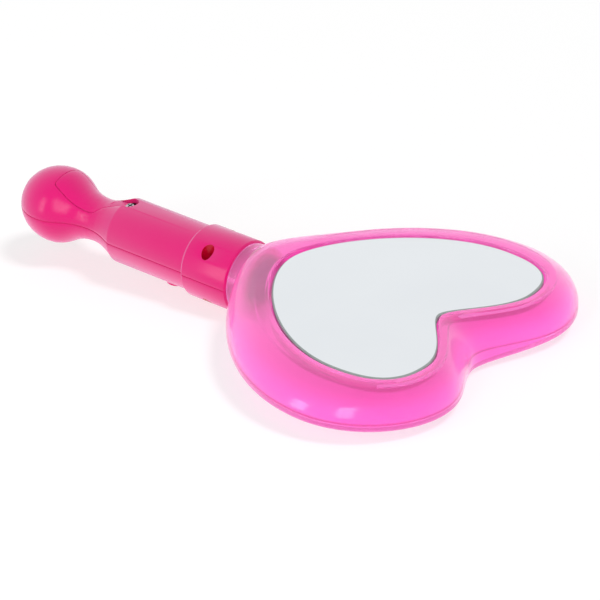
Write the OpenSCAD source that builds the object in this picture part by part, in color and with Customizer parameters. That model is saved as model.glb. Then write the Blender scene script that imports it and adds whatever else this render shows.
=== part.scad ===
// Light-up heart-shaped hand mirror: a hollow two-part grip with a battery bay and a push button,
// a translucent two-part heart head lit by one lamp, and a heart-shaped mirror set in its face.
// Local axes: X runs along the handle towards the head, Z points the way the mirror faces, and
// X = 0 is the collar's front rim on the handle's axis. seat() then moves the whole model so that
// its origin is the middle of its footprint, level with its lowest point.

/* [Mirror and heart] */
// Length of the mirror glass along the handle's direction
mirror_len = 85.7; // [70:0.1:100]
// Width of the mirror glass across the two lobes
mirror_w = 102.4; // [85:0.1:115]
// Depth of the notch between the lobes of the glass
mirror_cleft = 17.4; // [10:0.1:22]
// Thickness of the mirror glass
mirror_t = 2; // [1:0.1:3]
// Thickness of the foam tape behind the glass
tape_t = 0.8; // [0.4:0.1:1.2]
// Margin of bare floor round the tape
tape_inset = 3; // [1:0.5:8]
// Gap between the glass and the wall of its recess
glass_gap = 0.9; // [0.1:0.1:1.5]
// How much wider that gap gets at the handle end of the glass
tip_gap = 0.8; // [0:0.1:2]
// Height of the glass face above the handle's axis
glass_z = 15; // [13:0.1:17]
// How far the frame's lip stands above the glass
lip_h = 0.6; // [0.3:0.1:2]
// Width of the frame at the handle end of the heart
frame_tip = 17; // [14:0.1:20]
// Width of the frame beside each lobe
frame_side = 17.6; // [12:0.1:20]
// Width of the frame at the far end of each lobe
frame_end = 12.1; // [10:0.1:18]
// Width of the frame at the bottom of the notch
frame_cleft = 15.8; // [9:0.1:18]
// Share of the frame's width that is flat on top
frame_land = 0.35; // [0.3:0.01:0.6]
// Wall thickness of the two head shells
head_wall = 1.8; // [1.2:0.1:2.4]
// Height of the seam between the head shells above the handle's axis
seam_z = 4.1; // [3.6:0.1:5.5]
// Depth of the back shell's dome below the handle's axis
dome_z = 8; // [6:0.1:11]
// Height of the rim round the back shell, below the seam
back_rim_h = 3; // [2.2:0.1:3.4]
// Radius of the rounded edge round the back shell
back_edge_r = 1.8; // [1:0.1:2]
// Depth to which the back is filled out behind the neck
fairing_z = 12.4; // [10:0.1:13]

/* [Handle] */
// Outer diameter of the collar that holds the head
collar_d = 28; // [26:0.1:31]
// Length of the collar
collar_len = 20.5; // [18:0.1:24]
// Outer diameter of the straight grip
grip_d = 25.4; // [24:0.1:27]
// Length of the straight grip behind the collar
grip_len = 37.5; // [34:0.1:45]
// Distance from the grip's rear edge to the narrowest part of the waist
waist_len = 13; // [11:0.1:16]
// Diameter of the waist
waist_d = 17; // [16.6:0.1:19]
// Distance from the waist to the fattest part of the bulb
bulb_front = 20.9; // [19:0.1:25]
// Distance from the fattest part of the bulb to its rear end
bulb_rear = 16; // [14:0.1:22]
// Diameter of the bulb
bulb_d = 29.4; // [27:0.1:34]
// Wall thickness of the handle shells
handle_wall = 1.8; // [1.4:0.1:2]
// Length of head neck that shows between the collar and the heart
neck_len = 3; // [2.5:0.1:8]
// Outer diameter of the head's neck where it shows
neck_d = 26.4; // [25:0.1:27]
// Length of the head's spigot inside the collar
spigot_len = 18.8; // [18:0.1:19.2]
// Radial clearance between the spigot and the collar
spigot_gap = 0.15; // [0.1:0.05:0.3]

/* [Fasteners] */
// Diameter of the screwdriver holes in the collar
access_d = 4.8; // [4.4:0.1:5]
// Distance of the collar screws inside the collar's sides
collar_screw_inset = 5.1; // [4.8:0.1:7]
// Distance of the collar screws behind the collar's front rim
collar_screw_x = 11.7; // [11:0.1:13.5]
// Diameter of every screw's shank
screw_d = 2.2; // [1.8:0.1:2.4]
// Diameter of every screw's head
screw_head_d = 4.1; // [3.6:0.1:4.2]
// Thickness of every screw's head
screw_head_t = 1.7; // [1.2:0.1:2]
// Radial clearance round a screw's shank
screw_gap = 0.08; // [0.02:0.01:0.1]
// Length of the collar screws' shanks
collar_screw_len = 10; // [8:0.5:12]
// Length of the battery door screw's shank
door_screw_len = 5.6; // [4:0.1:6]

/* [Battery bay] */
// Diameter of one button cell
cell_d = 11.6; // [11:0.1:11.8]
// Thickness of one button cell
cell_t = 5.4; // [3.6:0.1:5.6]
// Number of button cells in the stack
cell_count = 3; // [1:1:3]
// Clearance between the cells and their cradle
cell_gap = 0.15; // [0.1:0.05:0.3]
// Thickness of the battery door
door_t = 1.6; // [1.2:0.1:1.8]
// Gap all round the battery door
door_gap = 0.25; // [0.15:0.05:0.4]
// Width of the door over the bulb
door_w = 14.8; // [13:0.1:16]
// Width of the door over the waist
door_waist_w = 12.4; // [12.2:0.1:13]
// Diameter of the round pocket that holds the door's screw
pocket_d = 6.8; // [6:0.1:7.2]
// Height of the door's tongue above the handle's axis
tongue_z = 9.4; // [9:0.1:10]

/* [Push button and lamp] */
// Diameter of the push button
button_d = 8.6; // [7:0.1:9]
// Distance of the button behind the collar's front rim
button_x = 34.6; // [30:0.1:37]
// How far the button's crown stands out of the grip
button_proud = 1.6; // [0.8:0.1:2]
// Radial clearance between the button and its hole
button_gap = 0.15; // [0.1:0.05:0.3]
// Travel of the push button
button_travel = 0.6; // [0.3:0.1:0.8]
// Side length of the push switch's body
switch_w = 6; // [5:0.1:7]
// Height of the push switch's body
switch_h = 3.4; // [3:0.1:4]
// Length of the circuit board
board_len = 25; // [22:0.5:28]
// Width of the circuit board
board_w = 15; // [12:0.5:16]
// Thickness of the circuit board
board_t = 1.2; // [0.8:0.1:1.6]
// Height of the board's upper face below the handle's axis
board_z = 2; // [1.5:0.1:2.5]
// Diameter of the lamp
lamp_d = 5; // [3:0.1:6]
// Length of the lamp's straight part
lamp_len = 5; // [4:0.1:6]

/* [Hidden] */
$fn = 72;
eps = 0.01;

// Stations along the handle, all behind the collar's front rim
grip_front_x = -collar_len - 1.5;
grip_rear_x = -collar_len - grip_len;
waist_x = grip_rear_x - waist_len;
bulb_x = waist_x - bulb_front;
tail_x = bulb_x - bulb_rear;
grip_r = grip_d / 2;
collar_r = collar_d / 2;
waist_r = waist_d / 2;
bulb_r = bulb_d / 2;
spigot_r = collar_r - handle_wall - spigot_gap;
neck_bore_r = spigot_r - head_wall;

// Heights in the head
ridge_z = glass_z + lip_h;
recess_z = glass_z - mirror_t - tape_t;

// Curve of the two heart outlines, as shares of the half width apart from the first: how far along
// the heart is widest, how far out the lobes' ends lie, and the reach of the curve's handles at
// the tip, before and after the widest point, before and after the lobe's end, and at the notch
glass_curve = [0.68, 0.605, 0.367, 0.578, 0.293, 0.312, 0.262, 0.122];
outer_curve = [0.64, 0.493, 0.338, 0.604, 0.312, 0.258, 0.188, 0.127];
glass_tip_x = neck_len + frame_tip;
glass_end_x = glass_tip_x + mirror_len;
head_end_x = glass_end_x + frame_end;
head_end_y = outer_curve[1] * (mirror_w / 2 + frame_side);
mid_x = (tail_x + head_end_x) / 2;

// Moves the model so that its origin is under the middle of its footprint
module seat() {
    translate([-mid_x, 0, bulb_r]) children();
}

// A point of the cubic curve through a and d with handles b and c
function bezier(a, b, c, d, t) =
    a * pow(1 - t, 3) + 3 * b * t * pow(1 - t, 2) + 3 * c * t * t * (1 - t) + d * pow(t, 3);

// Half of a heart from its tip at tip_x round one lobe to its notch
curve_steps = 12;
function half_heart(tip_x, end_x, half_w, cleft_x, curve) =
    let (
        reach = half_w * curve,
        tip = [tip_x, 0],
        wide = [tip_x + curve[0] * (end_x - tip_x) + 0.035 * half_w, half_w],
        end = [end_x, reach[1]],
        cleft = [cleft_x, 0],
        curves = [
            [tip, tip + [0, reach[2]], wide - [reach[3], 0], wide],
            [wide, wide + [reach[4], 0], end + [0, reach[5]], end],
            [end, end - [0, reach[6]], cleft + [0, reach[7]], cleft]
        ]
    )
    [for (c = curves, i = [0 : curve_steps - 1]) bezier(c[0], c[1], c[2], c[3], i / curve_steps)];

// A whole heart as a ring of points, counter-clockwise seen from above
function heart(tip_x, end_x, half_w, cleft_x, curve) =
    let (half = half_heart(tip_x, end_x, half_w, cleft_x, curve), n = len(half))
    concat([for (i = [0 : n - 1]) [half[i].x, -half[i].y]], [[cleft_x, 0]],
        [for (i = [n - 1 : -1 : 1]) half[i]]);

glass_line = heart(glass_tip_x, glass_end_x, mirror_w / 2, glass_end_x - mirror_cleft,
    glass_curve);
outer_line = heart(neck_len, head_end_x, mirror_w / 2 + frame_side,
    glass_end_x - mirror_cleft + frame_cleft, outer_curve);
line_count = len(glass_line);

// Width of the frame at point i, and the point that lies a distance o outside the glass there
function band(i) = norm(outer_line[i] - glass_line[i]);
function beside(i, o) = glass_line[i] + (outer_line[i] - glass_line[i]) * o / band(i);

// A closed solid from rings of equally many points, each ring joined to the next. Each end is one
// flat face, or where the end rings aren't flat, a fan of triangles round their middle.
function middle(ring) = [for (p = ring) 1] * ring / len(ring);
module rings(stack, flat_ends = true) {
    n = len(stack[0]);
    ring_points = [for (ring = stack) each ring];
    last = (len(stack) - 1) * n;
    sides = [for (k = [0 : len(stack) - 2], i = [0 : n - 1])
        let (a = k * n + i, b = k * n + (i + 1) % n)
        each [[a, b, b + n], [a, b + n, a + n]]];
    ends = flat_ends
        ? [[for (i = [n - 1 : -1 : 0]) i], [for (i = [0 : n - 1]) last + i]]
        : [for (i = [0 : n - 1]) let (j = (i + 1) % n)
            each [[last + n, j, i], [last + n + 1, last + i, last + j]]];
    points = flat_ends ? ring_points
        : concat(ring_points, [middle(stack[0]), middle(stack[len(stack) - 1])]);
    polyhedron(points, concat(sides, ends), convexity = 10);
}

function ring_at(section) =
    [for (i = [0 : line_count - 1]) let (s = section(i), p = beside(i, s[0])) [p.x, p.y, s[1]]];

// Shoulder of the front shell at angle a from the ridge down to the seam, set in by t. It falls
// away hollow beside the lobes and is full beside the neck.
shoulder_reach = 37;
function near_neck(p) = p.x > head_end_x / 2 ? 0 : fade(abs(p.y) / shoulder_reach);
function blend(at_lobe, at_neck, i) = at_lobe + (at_neck - at_lobe) * near_neck(outer_line[i]);
function shoulder(i, a, t) = [
    frame_land * band(i)
        + ((1 - frame_land) * band(i) - t) * pow(max(sin(a), 0), blend(1.95, 0.55, i)),
    seam_z + (ridge_z - seam_z - t) * pow(max(cos(a), 0), blend(1, 0.4, i))];

// Front shell: from the recess floor up its wall, over the ridge and down to the seam, then back
// inside the wall to the underside of the floor
recess_wall = 1.4;
lip_round = 0.5;
tip_gap_reach = 32;
function recess_edge(i) = let (p = glass_line[i])
    glass_gap + (p.x < glass_tip_x + tip_gap_reach ? tip_gap * fade(abs(p.y) / tip_gap_reach) : 0);
front_rings = concat(
    [ring_at(function(i) [recess_edge(i), recess_z]),
     ring_at(function(i) [recess_edge(i), ridge_z - lip_round]),
     ring_at(function(i) [recess_edge(i) + lip_round, ridge_z])],
    [for (a = [0, 20, 40, 58, 75, 90]) ring_at(function(i) shoulder(i, a, 0))],
    [for (a = [90, 70, 45, 20, 0]) ring_at(function(i) shoulder(i, a, head_wall))],
    [ring_at(function(i) [recess_edge(i) + recess_wall, ridge_z - head_wall]),
     ring_at(function(i) [recess_edge(i) + recess_wall, recess_z - recess_wall])]);

// Back shell, from the middle of its inside out to the seam and back to the middle of its
// outside: a shallow dome inside a low rim. It is shaped as if the heart had no notch, so where
// the notch cuts into it the wall is deeper. A ridge behind the neck fills it out and fades away.
dome_middle = [(neck_len + head_end_x) / 2 - 9, 0];
rim_z = seam_z - back_rim_h;
fairing_w = 15;
fairing_end_x = 0.47 * head_end_x;
function fade(t) = let (c = min(max(t, 0), 1)) 1 - c * c * (3 - 2 * c);
function fairing(p, z) = p.x > fairing_end_x ? 0
    : max(z + dome_z + (fairing_z - dome_z) * fade((p.x - neck_len) / (fairing_end_x - neck_len)), 0)
        * exp(-pow(p.y / fairing_w, 2));
function notch_share(i) = let (p = outer_line[i])
    p.x > dome_middle.x && abs(p.y) < head_end_y
        ? (p.x - dome_middle.x) / (head_end_x - dome_middle.x) : 1;
function inward(i, k) = dome_middle + (beside(i, band(i) - back_edge_r) - dome_middle) * k;
function back_z(i, k) = let (z = -dome_z + (rim_z + dome_z) * pow(k * notch_share(i), 2))
    z - fairing(inward(i, k), z);
function edge_ring(a) = [for (i = [0 : line_count - 1])
    let (p = beside(i, band(i) - back_edge_r * (1 - cos(a))))
    [p.x, p.y, back_z(i, 1) + back_edge_r * (1 - sin(a))]];
function dome_ring(k, t) = [for (i = [0 : line_count - 1])
    let (p = inward(i, k)) [p.x, p.y, back_z(i, k) + t]];
function seam_ring(t) = [for (i = [0 : line_count - 1])
    let (p = beside(i, band(i) - t)) [p.x, p.y, seam_z]];
function inner_foot_ring() = [for (i = [0 : line_count - 1])
    let (p = beside(i, band(i) - head_wall - 0.5))
    [p.x, p.y, min(back_z(i, 1) + head_wall, seam_z - 0.3)]];
dome_steps = [0.1, 0.25, 0.43, 0.6, 0.76, 0.9];
back_rings = concat(
    [for (k = dome_steps) dome_ring(k, head_wall)],
    [inner_foot_ring(), seam_ring(head_wall), seam_ring(0)],
    [for (a = [0, 30, 60, 90]) edge_ring(a)],
    [for (j = [len(dome_steps) - 1 : -1 : 0]) dome_ring(dome_steps[j], 0)]);

// Outline of the handle as [distance along X, radius], set in by t
profile_steps = 9;
function handle_line(t) = concat(
    [for (i = [0 : profile_steps]) let (a = 90 * i / profile_steps)
        [bulb_x - (bulb_rear - t) * cos(a), (bulb_r - t) * sin(a)]],
    [for (i = [1 : profile_steps]) bezier([bulb_x, bulb_r - t],
        [bulb_x + 0.41 * bulb_front, bulb_r - t], [waist_x - 0.57 * bulb_front, waist_r - t],
        [waist_x, waist_r - t], i / profile_steps)],
    [for (i = [1 : 5]) bezier([waist_x, waist_r - t],
        [waist_x + 0.35 * waist_len, waist_r - t],
        [grip_rear_x - 0.23 * waist_len, grip_r - 1.5 - t], [grip_rear_x, grip_r - t], i / 5)],
    [[grip_front_x, grip_r - t], [-collar_len, collar_r - t]]);

rim_round = 0.5;
module along_x() {
    rotate([0, 90, 0]) children();
}
module handle_outside() {
    along_x() rotate_extrude()
        polygon([for (p = concat(handle_line(0), [[-rim_round, collar_r],
            [0, collar_r - rim_round], [0, 0]])) [p[1], p[0]]]);
}
module handle_inside(t = handle_wall) {
    along_x() rotate_extrude()
        polygon([for (p = concat(handle_line(t), [[1, collar_r - t], [1, 0]])) [p[1], p[0]]]);
}
// Shadow line where the two halves meet
parting_w = 0.4;
parting_depth = 0.3;
function side_line(t) = let (line = concat(handle_line(t), [[1, collar_r - t]]))
    concat(line, [for (i = [len(line) - 1 : -1 : 1]) [line[i].x, -line[i].y]]);
module parting_groove() {
    translate([0, 0, -parting_w / 2]) linear_extrude(parting_w) difference() {
        polygon(side_line(-parting_depth));
        polygon(side_line(parting_depth));
    }
}

// Cuts reach at least this far past what they cut
beyond = 2 * bulb_d;
module upper_half() {
    translate([tail_x - beyond, -beyond, 0]) cube([2 * beyond - tail_x, 2 * beyond, beyond]);
}
module lower_half() {
    mirror([0, 0, 1]) upper_half();
}

// Screws: where they sit and what they clamp
boss_r = access_d / 2 + 1.1;
boss_gap = 0.2;
collar_seat_z = 3;
collar_screw_at = [for (side = [-1, 1])
    [-collar_screw_x, side * (collar_r - collar_screw_inset), 0]];
pilot_r = screw_d / 2 + screw_gap;
pocket_x = grip_rear_x + pocket_d / 2 - 2.4;
door_boss_r = 2.9;
tongue_t = 1.6;
tongue_r = pocket_d / 2 - 0.4;
door_low_z = 4;

// Battery bay: the stack of cells lies along the handle, under the door
stack_len = cell_count * cell_t;
stack_front_x = waist_x - 1.1;
stack_rear_x = stack_front_x - stack_len;
spring_len = 2.3;
plate_t = 0.4;
cradle_wall = 1.1;
cradle_r = cell_d / 2 + cell_gap;
front_plate_x = stack_front_x;
rear_plate_x = stack_rear_x - spring_len - plate_t;
cradle_rear_x = rear_plate_x - 1.2;
cradle_front_x = front_plate_x + plate_t + 1.2;
door_rear_x = stack_rear_x - 0.5;
door_corner_r = 1.2;
door_neck_x = waist_x + 5.5;

// Plan of the door: rounded corners over the bulb, narrower over the waist, then a tongue into the
// pocket. It is grown by g for the opening that it lies in.
function door_plan(g) =
    let (
        w = door_w / 2 + g,
        v = door_waist_w / 2 + g,
        u = tongue_r + g,
        r = door_corner_r + g,
        corner = [for (a = [0 : 30 : 90])
            [door_rear_x - g + r * (1 - sin(90 - a)), w - 0.5 - r + r * cos(90 - a)]],
        flank = [for (i = [1 : 6]) bezier([door_rear_x + door_corner_r, w - 0.5],
            [door_rear_x + 5, w + 0.4], [waist_x - 7, v], [waist_x - 1, v], i / 6)],
        neck = [for (i = [1 : 4]) bezier([waist_x - 1, v], [waist_x + 2, v],
            [door_neck_x - 3, u], [door_neck_x, u], i / 4)],
        side = concat(corner, flank, neck, [[pocket_x, u]]),
        end = [for (a = [75 : -15 : -75]) [pocket_x + u * cos(a), u * sin(a)]]
    )
    concat(side, end, [for (i = [len(side) - 1 : -1 : 0]) [side[i].x, -side[i].y]]);

// Board, switch and button
board_front_x = -spigot_len - 4;
board_rear_x = board_front_x - board_len;
board_under_z = -board_z - board_t;
switch_under_z = board_under_z - switch_h;
plunger_r = 1.7;
plunger_out = 1.2;
plunger_under_z = switch_under_z - plunger_out;
button_r = button_d / 2;
flange_r = button_r + 1.2;
flange_t = 1;
button_seat_z = -grip_r + handle_wall + 1.7;
button_crown_z = -grip_r - button_proud;

chip_x = board_rear_x + 0.32 * board_len;
chip_r = 3.6;
chip_h = 1.4;

// Lamp and its holder inside the spigot
holder_x = -6;
holder_t = 2;
lamp_r = lamp_d / 2;
lamp_base_x = holder_x + holder_t;
cup_wall = 1;
cup_front_x = neck_len + 5;
lead_r = 0.3;
lead_y = 1.27;

module head_neck() {
    difference() {
        union() {
            translate([-spigot_len, 0, 0]) along_x() cylinder(r = spigot_r, h = spigot_len + 1);
            translate([spigot_gap, 0, 0]) along_x() cylinder(d = neck_d, h = neck_len + 3.5);
        }
        for (at = collar_screw_at)
            translate(at) translate([0, 0, -beyond]) cylinder(r = boss_r + boss_gap, h = 2 * beyond);
    }
}
module neck_bore() {
    translate([-spigot_len - 1, 0, 0]) along_x()
        cylinder(r = neck_bore_r, h = spigot_len + 1 + cup_front_x + 0.4);
}

module head_front_shell() seat() color([0.93, 0.25, 0.66, 0.8]) difference() {
    union() {
        rings(front_rings);
        intersection() {
            head_neck();
            translate([-beyond, -beyond, seam_z]) cube([2 * beyond, 2 * beyond, beyond]);
        }
    }
    neck_bore();
}

module head_back_shell() seat() color([0.95, 0.3, 0.7, 0.8]) difference() {
    union() {
        rings(back_rings, flat_ends = false);
        intersection() {
            head_neck();
            translate([-beyond, -beyond, seam_z - beyond]) cube([2 * beyond, 2 * beyond, beyond]);
        }
    }
    neck_bore();
}

module mirror_plate() seat() color("lightcyan")
    translate([0, 0, glass_z - mirror_t]) linear_extrude(mirror_t) polygon(glass_line);

module mirror_tape() seat() color("white")
    translate([0, 0, recess_z]) linear_extrude(tape_t)
        polygon([for (i = [0 : line_count - 1]) beside(i, -tape_inset)]);

// A plate across the inside of the handle, trimmed to the shell's bore
module cross_rib(x, t, low, high, half_w = beyond) {
    intersection() {
        translate([x - t / 2, -half_w, low]) cube([t, 2 * half_w, high - low]);
        handle_inside(handle_wall - 0.2);
    }
}

module handle_top_shell() seat() color("deeppink") difference() {
    union() {
        intersection() {
            difference() {
                handle_outside();
                handle_inside();
            }
            upper_half();
        }
        // Bosses round the collar screws
        for (at = collar_screw_at) intersection() {
            translate(at) cylinder(r = boss_r, h = beyond);
            handle_inside(handle_wall - 0.2);
        }
        // Boss for the door's screw, on a rib across the grip
        translate([pocket_x, 0, 3]) cylinder(r = door_boss_r, h = tongue_z - tongue_t - 3);
        cross_rib(pocket_x, 1.6, 3, tongue_z - tongue_t);
        // Ribs that hold the board down
        for (x = [board_rear_x + 3, board_front_x - 3]) {
            cross_rib(x, 1.4, 0, beyond);
            cross_rib(x, 1.4, -board_z + 0.1, eps, board_w / 2 + 1);
        }
        // Ledge under the rear edge of the door
        intersection() {
            translate([door_rear_x - 2, -5, 6]) cube([3.2, 10, 12]);
            difference() {
                handle_inside(door_t + 0.1);
                handle_inside(door_t + 1.5);
            }
        }
    }
    translate([0, 0, door_low_z - 2]) linear_extrude(beyond) polygon(door_plan(door_gap));
    translate([pocket_x, 0, tongue_z - tongue_t]) cylinder(d = pocket_d, h = beyond);
    for (at = collar_screw_at) translate(at) {
        translate([0, 0, collar_seat_z]) cylinder(d = access_d, h = beyond);
        translate([0, 0, -1]) cylinder(r = pilot_r, h = collar_seat_z + 2);
    }
    translate([pocket_x, 0, 1]) cylinder(r = pilot_r, h = tongue_z);
    parting_groove();
}

module handle_bottom_shell() seat() color("hotpink") difference() {
    union() {
        intersection() {
            difference() {
                handle_outside();
                handle_inside();
            }
            lower_half();
        }
        for (at = collar_screw_at) intersection() {
            translate(at) mirror([0, 0, 1]) cylinder(r = boss_r, h = beyond);
            handle_inside(handle_wall - 0.2);
        }
        // Cradle for the cells, on two ribs
        intersection() {
            translate([cradle_rear_x, 0, 0]) along_x()
                cylinder(r = cradle_r + cradle_wall, h = cradle_front_x - cradle_rear_x);
            lower_half();
            handle_inside(handle_wall - 0.2);
        }
        for (x = [cradle_rear_x + 1.5, cradle_rear_x + 9])
            cross_rib(x, 1.6, -beyond, -cell_d / 4);
        // Ribs under the board
        for (x = [board_rear_x + 3, board_front_x - 0.4]) cross_rib(x, 1.4, -beyond, board_under_z);
        // Guide round the button
        intersection() {
            translate([-button_x, 0, -grip_r]) cylinder(r = flange_r + 0.9, h = grip_r + button_seat_z);
            handle_inside(handle_wall - 0.2);
        }
    }
    translate([-button_x, 0, -beyond]) cylinder(r = button_r + button_gap, h = beyond);
    translate([stack_rear_x - spring_len, 0, 0]) along_x()
        cylinder(r = cradle_r, h = stack_len + spring_len);
    // Slots for the contact plates, and a groove for the lead under the cells
    for (x = [rear_plate_x, front_plate_x])
        translate([x - 0.1, -contact_w / 2 - 0.1, -contact_w / 2 - 0.1])
            cube([plate_t + 0.2, contact_w + 0.2, beyond]);
    translate([cradle_rear_x - 1, -wire_r - lead_gap, lead_z - wire_r - lead_gap])
        cube([waist_x + waist_len - cradle_rear_x, 2 * (wire_r + lead_gap), 3]);
    translate([cradle_front_x - 1.3, -contact_w / 2, -contact_w / 2]) cube([2, contact_w, contact_w]);
    for (at = collar_screw_at) translate(at) translate([0, 0, -collar_screw_len + collar_seat_z - 0.6])
        cylinder(r = pilot_r, h = collar_screw_len);
    parting_groove();
}

// A pan-head screw with its head's underside at Z = 0 and its shank pointing down
module screw(len) {
    difference() {
        union() {
            translate([0, 0, -len + 0.8]) cylinder(d = screw_d, h = len - 0.8 + eps);
            translate([0, 0, -len]) cylinder(d1 = screw_d / 2, d2 = screw_d, h = 0.8 + eps);
            cylinder(d = screw_head_d, h = screw_head_t * 0.6);
            translate([0, 0, screw_head_t * 0.6 - eps])
                cylinder(d1 = screw_head_d, d2 = screw_head_d * 0.7, h = screw_head_t * 0.4);
        }
        for (turn = [0, 90]) rotate([0, 0, turn])
            translate([-screw_head_d * 0.3, -0.3, screw_head_t * 0.35])
                cube([screw_head_d * 0.6, 0.6, screw_head_t]);
    }
}

module collar_screws() seat() color("silver")
    for (at = collar_screw_at) translate(at) translate([0, 0, collar_seat_z]) screw(collar_screw_len);

module battery_door() seat() color("deeppink") difference() {
    union() {
        intersection() {
            difference() {
                handle_outside();
                handle_inside(door_t);
                translate([door_neck_x, -beyond, tongue_z]) cube(2 * beyond);
            }
            translate([0, 0, door_low_z]) linear_extrude(beyond) polygon(door_plan(0));
            translate([tail_x, -beyond, 0]) cube([pocket_x - tail_x, 2 * beyond, beyond]);
        }
        intersection() {
            translate([0, 0, tongue_z - tongue_t]) linear_extrude(tongue_t) polygon(door_plan(0));
            translate([door_neck_x - 2.5, -beyond, 0]) cube(2 * beyond);
            union() {
                handle_outside();
                translate([pocket_x, 0, 0]) cylinder(d = pocket_d, h = beyond);
            }
        }
    }
    translate([pocket_x, 0, 0]) cylinder(r = pilot_r, h = beyond);
}

module door_screw() seat() color("silver")
    translate([pocket_x, 0, tongue_z]) screw(door_screw_len);

module push_button() seat() color("deeppink") translate([-button_x, 0, 0]) {
    crown_h = 0.7;
    crown_r = (button_r * button_r + crown_h * crown_h) / (2 * crown_h);
    intersection() {
        translate([0, 0, button_crown_z]) cylinder(r = button_r, h = button_seat_z - button_crown_z + 0.5);
        translate([0, 0, button_crown_z + crown_r]) sphere(r = crown_r, $fn = 120);
    }
    translate([0, 0, button_seat_z + 0.05]) cylinder(r = flange_r, h = flange_t);
    translate([0, 0, button_seat_z + 0.05])
        cylinder(r = plunger_r, h = plunger_under_z - button_seat_z - 0.05);
}

module switch_body() seat() color("dimgray") translate([-button_x, 0, 0]) difference() {
    union() {
        translate([-switch_w / 2, -switch_w / 2, switch_under_z + 0.4])
            cube([switch_w, switch_w, switch_h - 0.4]);
        translate([0, 0, switch_under_z]) cylinder(r = switch_w * 0.4, h = 0.5);
        for (sx = [-1, 1], sy = [-1, 1])
            translate([sx * (switch_w / 2 + 0.3) - 0.3, sy * 2.2 - 0.35, board_under_z - 2])
                cube([0.6, 0.7, 2]);
    }
    translate([0, 0, switch_under_z - 1]) cylinder(r = plunger_r + 0.08, h = 1 + 1.4 + button_travel);
}

module switch_plunger() seat() color("white")
    translate([-button_x, 0, plunger_under_z]) cylinder(r = plunger_r, h = plunger_out + 1.2);

module circuit_board() seat() color("seagreen") difference() {
    translate([board_rear_x, -board_w / 2, board_under_z]) cube([board_len, board_w, board_t]);
    for (side = [-1, 1]) translate([lead_bend_x, side * lead_y, -beyond])
        cylinder(r = lead_r + 0.1, h = beyond, $fn = 24);
}

module control_chip() seat() color("black") intersection() {
    translate([chip_x, 0, -board_z - chip_r + chip_h]) sphere(r = chip_r);
    translate([chip_x - chip_r, -chip_r, -board_z]) cube(2 * chip_r);
}

module series_resistor() seat() color("tan")
    translate([chip_x + chip_r + 1.5, board_w / 5, -board_z]) cube([3.2, 1.6, 0.6]);

// A cup in the neck's bore that carries the lamp and throws its light forwards
module led_holder() seat() color("antiquewhite") difference() {
    translate([holder_x, 0, 0]) along_x() cylinder(r = neck_bore_r - 0.1, h = cup_front_x - holder_x);
    translate([lamp_base_x, 0, 0]) along_x()
        cylinder(r = neck_bore_r - 0.1 - cup_wall, h = cup_front_x - holder_x);
    translate([holder_x - 1, 0, 0]) along_x() cylinder(r = lamp_r + 0.05, h = holder_t + 2);
}

module led_lamp() seat() color([1, 1, 1, 0.6]) translate([holder_x - 1, 0, 0]) along_x() {
    cylinder(r = lamp_r, h = lamp_len + 1);
    translate([0, 0, lamp_len + 1]) sphere(r = lamp_r);
    cylinder(r = lamp_r + 0.4, h = 0.9);
}

lead_bend_x = board_front_x - 1.6;
module led_leads() seat() color("silver") for (side = [-1, 1]) {
    translate([lead_bend_x, side * lead_y, 0]) along_x()
        cylinder(r = lead_r, h = holder_x - 1 - lead_bend_x, $fn = 24);
    translate([lead_bend_x, side * lead_y, board_under_z - 0.5])
        cylinder(r = lead_r, h = 0.5 - board_under_z, $fn = 24);
    translate([lead_bend_x, side * lead_y, 0]) sphere(r = lead_r, $fn = 24);
}

module button_cell(index) seat() color("silver")
    translate([stack_rear_x + index * cell_t, 0, 0]) along_x() {
        cylinder(d = cell_d - 1.6, h = cell_t);
        translate([0, 0, 0.4]) cylinder(d = cell_d, h = cell_t - 0.4);
    }
module button_cell_1() button_cell(0);
module button_cell_2() button_cell(1);
module button_cell_3() button_cell(2);

contact_w = 9;
module contact_front() seat() color("silver")
    translate([front_plate_x, -contact_w / 2, -contact_w / 2]) cube([plate_t, contact_w, contact_w]);
module contact_rear() seat() color("silver")
    translate([rear_plate_x, -contact_w / 2, -contact_w / 2]) cube([plate_t, contact_w, contact_w]);

// A round wire or tube swept along points in the XZ or XY plane or in space
function unit(v) = v / norm(v);
function tangent(route, k) = unit(route[min(k + 1, len(route) - 1)] - route[max(k - 1, 0)]);
function tube_rings(route, r, sides) = [for (k = [0 : len(route) - 1])
    let (t = tangent(route, k), u = unit(cross(t, abs(t.y) < 0.9 ? [0, 1, 0] : [0, 0, 1])), v = cross(u, t))
    [for (i = [0 : sides - 1]) let (a = 360 * i / sides) route[k] + r * (u * cos(a) + v * sin(a))]];

spring_turns = 2.5;
spring_steps = 18;
spring_wire_r = 0.25;
module contact_spring() seat() color("silver") {
    count = spring_turns * spring_steps;
    rise = (spring_len - 2 * spring_wire_r) / count;
    rings(tube_rings([for (k = [0 : count]) let (a = 360 * k / spring_steps, r = 3.8 - 1.2 * k / count)
        [rear_plate_x + plate_t + spring_wire_r + k * rise, r * cos(a), r * sin(a)]],
        spring_wire_r, 8));
}

wire_r = 0.5;
lead_gap = 0.35;
lead_z = -cell_d / 2 - wire_r - 0.15;
lead_end_z = -board_z + wire_r + 0.1;
lead_end_y = board_w / 3.5;
lead_step = (board_rear_x - waist_x) / 4;
// A point of the smooth curve through the middle two of four route points
function spline(a, b, c, d, t) = b + (c - a) * t / 2 + (2 * a - 5 * b + 4 * c - d) * t * t / 2
    + (3 * b - a - 3 * c + d) * t * t * t / 2;
function smooth(route) = let (n = len(route)) concat([for (k = [0 : n - 2], i = [0 : 2])
    spline(route[max(k - 1, 0)], route[k], route[k + 1], route[min(k + 2, n - 1)], i / 3)],
    [route[n - 1]]);
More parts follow.
